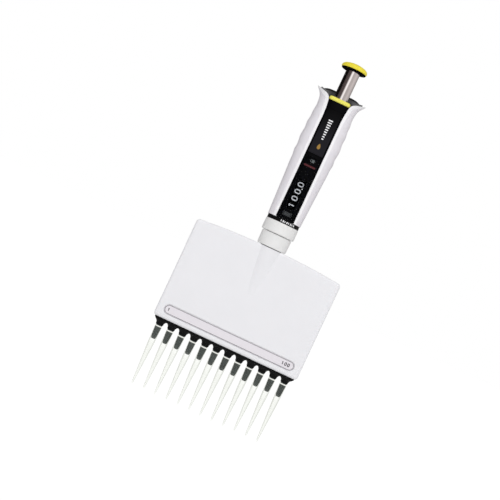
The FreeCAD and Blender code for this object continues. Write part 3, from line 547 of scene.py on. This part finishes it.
# digit: list of (points, closed)
DIGITS = {
    "0": [(arc(0, H - W, W, W, 0, 180) + arc(0, -H + W, W, W, 180, 360), True)],
    "1": [([(-0.30, H - 0.30), (-0.12, H - 0.14), (0.04, H)], False),
          ([(0.04, H + 0.06), (0.04, -H - 0.06)], False)],
    "2": [(arc(0, H - W, W, W, 165, -20) + [(-W, -H)], False),
          ([(-W - 0.03, -H), (W + 0.04, -H)], False)],
    "3": [(arc(0, H - 0.36, 0.38, 0.36, 150, -80), False),
          (arc(0, -H + 0.39, W, 0.39, 85, -150), False)],
    "4": [([(0.2, -H - 0.06), (0.2, H), (-W, -0.28), (W + 0.06, -0.28)], False)],
    "5": [([(W, H), (-W + 0.06, H), (-W, 0.06)] + arc(0, -H + 0.42, W, 0.42, 130, -150), False)],
    "6": [(ring(-H + W, W, W), True),
          ([(-W, -H + W), (-W, 0.1), (-0.25, H - 0.12), (0.18, H)], False)],
    "7": [([(-W, H), (W, H), (-0.12, -H - 0.06)], False)],
    "8": [(ring(H - 0.34, 0.36, 0.34), True), (ring(-H + 0.38, W, 0.38), True)],
    "9": [(ring(H - W, W, W), True),
          ([(W, H - W), (W, -0.1), (0.25, -H + 0.12), (-0.18, -H)], False)],
}


def draw_digit(bm, digit, cx, cy, width, height, weight, depth):
    """Draws a digit centred at (cx, cy), sizes in mm."""
    sx, sy = (width - weight) / (2 * W), (height - weight) / (2 * H)
    for points, closed in DIGITS[digit]:
        points = [(cx + x * sx, cy + y * sy) for x, y in points]
        stroke(bm, points, weight, depth, closed)


# ------------------------------------------------------------------ volume wheels
WHEELS = {"hundreds": 1, "tens": 0, "units": 0, "tenths": 0}  # digit shown at the front
WHEEL_SINK = 0.015  # how far the foot of the print lies inside the wheel


def wheel_digits(body, shown):
    lo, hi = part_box(body + "_wheel")
    radius = (hi.x - lo.x) / 2 / MM
    mid_z = (hi.z + lo.z) / 2 / MM
    bm = bmesh.new()
    for digit in range(10):
        part = bmesh.new()
        draw_digit(part, str(digit), 0.0, 0.0, width=3.35, height=4.75, weight=0.80, depth=0.05)
        # finer cuts so that the print follows the round of the wheel
        long_edges = [e for e in part.edges if e.calc_length() > 0.7]
        bmesh.ops.subdivide_edges(part, edges=long_edges, cuts=2)
        middle = math.radians(-90.0 - 36.0 * (digit - shown))

        def around_wheel(u, v, w):
            # u runs up the wheel; at the front, the top of the digit points to -X
            angle = middle - v / radius
            r = radius - WHEEL_SINK + w
            return r * math.cos(angle), r * math.sin(angle), mid_z + u

        lay(part, around_wheel)
        mesh = bpy.data.meshes.new("tmp")
        part.to_mesh(mesh)
        part.free()
        bm.from_mesh(mesh)
        bpy.data.meshes.remove(mesh)
    new_mesh(body + "_digits", bm, "ink_white", body)


for body, shown in WHEELS.items():
    wheel_digits(body, shown)

# ------------------------------------------------------------------ curved front panel
PANEL_FRONT = -12.6   # y of the panel at x = 0
PANEL_RADIUS = 42.0


def panel_mark(name, draw, ink_name, body, lift=0.0):
    """Draws a mark and bends it to the panel, standing lift in front of its face."""
    def on_panel(u, v, w):
        bend = math.sqrt(PANEL_RADIUS * PANEL_RADIUS - u * u)
        return u, PANEL_FRONT + PANEL_RADIUS - bend - w - lift, v

    bm = bmesh.new()
    draw(bm)
    wide = [e for e in bm.edges if abs(e.verts[0].co.x - e.verts[1].co.x) > 1.2]
    bmesh.ops.subdivide_edges(bm, edges=wide, cuts=3)
    lay_mark(name, bm, on_panel, ink_name, body)


def bars(bm):
    """Column of nine bars, longer towards the top."""
    z, pitch, height = 219.0, 1.78, 0.85
    for k in range(9):
        half = 0.75 + 0.11 * k
        slab(bm, rect(-half, half, z, z + height, r=0.25), depth=0.03)
        z += pitch


def drop(bm):
    """Drop with its point up."""
    mid_z, radius, stretch, count = 213.6, 1.55, 1.35, 40
    points = []
    for k in range(count):
        a = 2 * math.pi * k / count
        x = radius * math.sin(a) * (math.sin(a / 2) ** 0.9)
        points.append((x, mid_z + radius * math.cos(a) * stretch))
    slab(bm, points, depth=0.03)


def padlock(bm):
    """Padlock lying on its side, its shackle towards -X."""
    slab(bm, rect(0.0, 1.9, 201.1, 203.3, r=0.3), depth=0.02)
    mid_z, half_height, length, leg = 202.2, 0.85, 0.95, 0.25
    shackle = [(0.0, mid_z + half_height)]
    for degrees in range(0, 181, 15):
        a = math.radians(degrees)
        shackle.append((-leg - length * math.sin(a), mid_z + half_height * math.cos(a)))
    shackle.append((0.0, mid_z - half_height))
    stroke(bm, shackle, weight=0.36, depth=0.02)


def red_bar(bm):
    slab(bm, rect(-4.3, 4.3, 197.4, 198.7, r=0.3), depth=0.02)


def decimal_point(bm):
    slab(bm, rect(1.75, 2.45, 180.75, 181.45, r=0.2), depth=0.02)


def ticks(bm):
    """Five lines, long and short in turn."""
    first_z, pitch, height = 159.4, 0.55, 0.22
    for k in range(5):
        half = 3.4 if k % 2 == 0 else 2.2
        z = first_z + k * pitch
        slab(bm, rect(-half, half, z, z + height), depth=0.02)


panel_mark("slider_bars", bars, "ink_white", "lock", lift=-0.06)
panel_mark("slider_drop", drop, "ink_amber", "lock", lift=-0.06)
panel_mark("window_padlock", padlock, "ink_dim", "handle")
panel_mark("window_red_bar", red_bar, "ink_red", "handle")
panel_mark("window_decimal", decimal_point, "ink_white", "handle")
panel_mark("window_ticks", ticks, "ink_grey", "handle")


# ------------------------------------------------------------------ round black band
def band_marks():
    """Row of blocks, narrow and wide in turn, around the front of the band."""
    lo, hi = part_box("chassis_base")
    radius = (hi.x - lo.x) / 2 / MM
    first_u, pitch, sink = -2.2, 1.45, 0.01
    bm = bmesh.new()
    for k, width in enumerate((0.55, 0.9) * 4):
        u = first_u + pitch * k
        slab(bm, rect(u, u + width, 154.15, 155.55, r=0.15), depth=0.03)

    def around_band(u, v, w):
        r = radius - sink + w
        return r * math.sin(u / radius), -r * math.cos(u / radius), v

    lay_mark("band_marks", bm, around_band, "ink_white", "handle")


band_marks()

# ------------------------------------------------------------------ module label
label_lo, label_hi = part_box("label_plate")
LABEL_FRONT = label_lo.y / MM
LABEL_Z = (label_lo.z + label_hi.z) / 2 / MM
LABEL_SINK = 0.005


def on_label(u, v, w):
    return u, LABEL_FRONT + LABEL_SINK - w, v


def label_numbers():
    """1 at the left end and 100 at the right."""
    bm = bmesh.new()
    draw_digit(bm, "1", -47.6, LABEL_Z, width=1.5, height=2.4, weight=0.5, depth=0.03)
    first_x, pitch = 42.0, 2.3
    for k, digit in enumerate("100"):
        draw_digit(bm, digit, first_x + pitch * k, LABEL_Z,
                   width=1.75, height=2.6, weight=0.56, depth=0.03)
    lay_mark("label_numbers", bm, on_label, "ink_dark", "module")


def label_line():
    """Fine line round the label, just inside its edge."""
    half_x = (label_hi.x - label_lo.x) / 2 / MM
    half_z = (label_hi.z - label_lo.z) / 2 / MM

    def stadium(inset):
        hx, r = half_x - inset, half_z - inset
        return arc(hx - r, LABEL_Z, r, r, -90, 90) + arc(r - hx, LABEL_Z, r, r, 90, 270)

    bm = bmesh.new()
    slab(bm, stadium(inset=0.24), depth=0.02, holes=[stadium(inset=0.60)])
    lay_mark("label_line", bm, on_label, "ink_line", "module")


label_numbers()
label_line()


# ------------------------------------------------------------------ floor
def floor_paper():
    """Grey paper for light, nearly pure white to the camera."""
    tree = Material("floor_paper")
    grain = tree.noise(scale=0.5, detail=3, rough=0.6)
    paper = tree.ramp(grain, [(0.3, (0.80, 0.80, 0.80)), (0.7, (0.84, 0.84, 0.84))])
    diffuse = tree.out("ShaderNodeBsdfDiffuse", {"Color": paper})
    white = tree.out("ShaderNodeEmission", {"Color": (1, 1, 1), "Strength": 1.08})
    white_share = 0.93  # of what the camera sees
    camera_ray = tree.add("ShaderNodeLightPath").outputs["Is Camera Ray"]
    share = tree.math("MULTIPLY", camera_ray, white_share)
    return tree.finish(tree.mix_shader(share, diffuse, white))


def floor():
    bm = bmesh.new()
    bmesh.ops.create_grid(bm, x_segments=24, y_segments=24, size=6.0)
    for vert in bm.verts:
        vert.co.z = -0.0006
    mesh = bpy.data.meshes.new("studio_floor")
    bm.to_mesh(mesh)
    bm.free()
    obj = bpy.data.objects.new("studio_floor", mesh)
    scene.collection.objects.link(obj)
    mesh.materials.append(floor_paper())


floor()

# ------------------------------------------------------------------ light
# What reflections see, by azimuth: 0 and 1 behind the object, 0.5 towards the camera (-Y),
# 0.75 to the right (+X). Columns: position, linear colour.
REFLECTIONS = [
    (0.0, (0.30, 0.29, 0.29)), (0.10, (0.02, 0.016, 0.015)), (0.20, (0.004, 0.003, 0.003)),
    (0.285, (0.004, 0.003, 0.003)), (0.322, (0.070, 0.053, 0.052)),
    (0.425, (0.105, 0.083, 0.080)), (0.448, (0.16, 0.14, 0.14)), (0.470, (0.86, 0.83, 0.82)),
    (0.500, (1.20, 1.16, 1.15)), (0.532, (1.12, 1.08, 1.07)), (0.558, (0.54, 0.50, 0.49)),
    (0.615, (0.53, 0.49, 0.48)), (0.70, (0.68, 0.63, 0.62)), (0.75, (0.63, 0.585, 0.575)),
    (0.84, (0.44, 0.41, 0.40)), (0.93, (0.28, 0.26, 0.255)), (1.0, (0.20, 0.19, 0.19)),
]
DIFFUSE_STRENGTH = 0.77


def studio_world():
    """Separate surroundings for diffuse light, for reflections and for the camera."""
    world = bpy.data.worlds.new("studio")
    scene.world = world
    world.use_nodes = True
    tree = Nodes(world.node_tree)
    x, y, z = tree.split(tree.add("ShaderNodeTexCoord").outputs["Generated"])
    # half turns from the camera's side, -1 to 1, then moved to 0 to 1 for the ramp
    turn = tree.math("DIVIDE", tree.math("ARCTAN2", x, tree.math("MULTIPLY", y, -1.0)), math.pi)
    position = tree.math("ADD", tree.math("MULTIPLY", turn, 0.5), 0.5)
    reflected = tree.ramp(position, REFLECTIONS)
    # diffuse light is brighter from above and from the front
    above = tree.remap(z, span=(-1.0, 1.0), to=(0.62, 1.12))
    front = tree.remap(y, span=(-1.0, 0.6), to=(1.45, 0.38))
    diffuse = tree.math("MULTIPLY", above, front)
    diffuse = tree.math("MULTIPLY", diffuse, DIFFUSE_STRENGTH)
    ray = tree.add("ShaderNodeLightPath").outputs
    for_diffuse, for_gloss, for_camera = [
        tree.out("ShaderNodeBackground", {"Color": color, "Strength": strength})
        for color, strength in (((1.0, 0.995, 1.0), diffuse), (reflected, 1.0),
                                ((1, 1, 1), 1.0))]
    lighting = tree.mix_shader(ray["Is Glossy Ray"], for_diffuse, for_gloss)
    seen = tree.mix_shader(ray["Is Camera Ray"], lighting, for_camera)
    tree.add("ShaderNodeOutputWorld", {"Surface": seen})


def area_light(name, location, size, power):
    """Square light aimed at the middle of the object, unseen in reflections."""
    light = bpy.data.lights.new(name, "AREA")
    light.shape = "RECTANGLE"
    light.size = light.size_y = size
    light.energy = power
    light.specular_factor = 0.0
    obj = bpy.data.objects.new(name, light)
    obj.location = location
    aim = Vector((0, 0, 0.14)) - Vector(location)
    obj.rotation_euler = aim.to_track_quat("-Z", "Y").to_euler()
    obj.visible_glossy = False
    scene.collection.objects.link(obj)


studio_world()
area_light("key", location=(0.42, -0.75, 0.62), size=0.7, power=1.9)
area_light("fill", location=(-0.6, -0.6, 0.35), size=0.8, power=0.7)

# ------------------------------------------------------------------ camera
DISTANCE = 0.85       # from the plane y = 0
VIEW_WIDTH = 0.3600   # seen across that plane
VIEW_X, VIEW_Z = -0.0131, 0.1264
ROLL = math.radians(25.09)
SENSOR_MM = 36.0

camera_data = bpy.data.cameras.new("camera")
camera_data.sensor_width = SENSOR_MM
camera_data.lens = SENSOR_MM * DISTANCE / VIEW_WIDTH
camera_data.clip_start = 0.01
camera_data.clip_end = 20
camera = bpy.data.objects.new("camera", camera_data)
# looks along +Y, then rolls so that the object's top leans to the right
camera.matrix_world = (Matrix.Translation(Vector((VIEW_X, -DISTANCE, VIEW_Z)))
                       @ Matrix.Rotation(math.radians(90), 4, "X")
                       @ Matrix.Rotation(ROLL, 4, "Z"))
scene.collection.objects.link(camera)
scene.camera = camera

scene.view_settings.view_transform = "Standard"
scene.view_settings.look = "None"
scene.view_settings.exposure = 0.0
scene.view_settings.gamma = 1.0
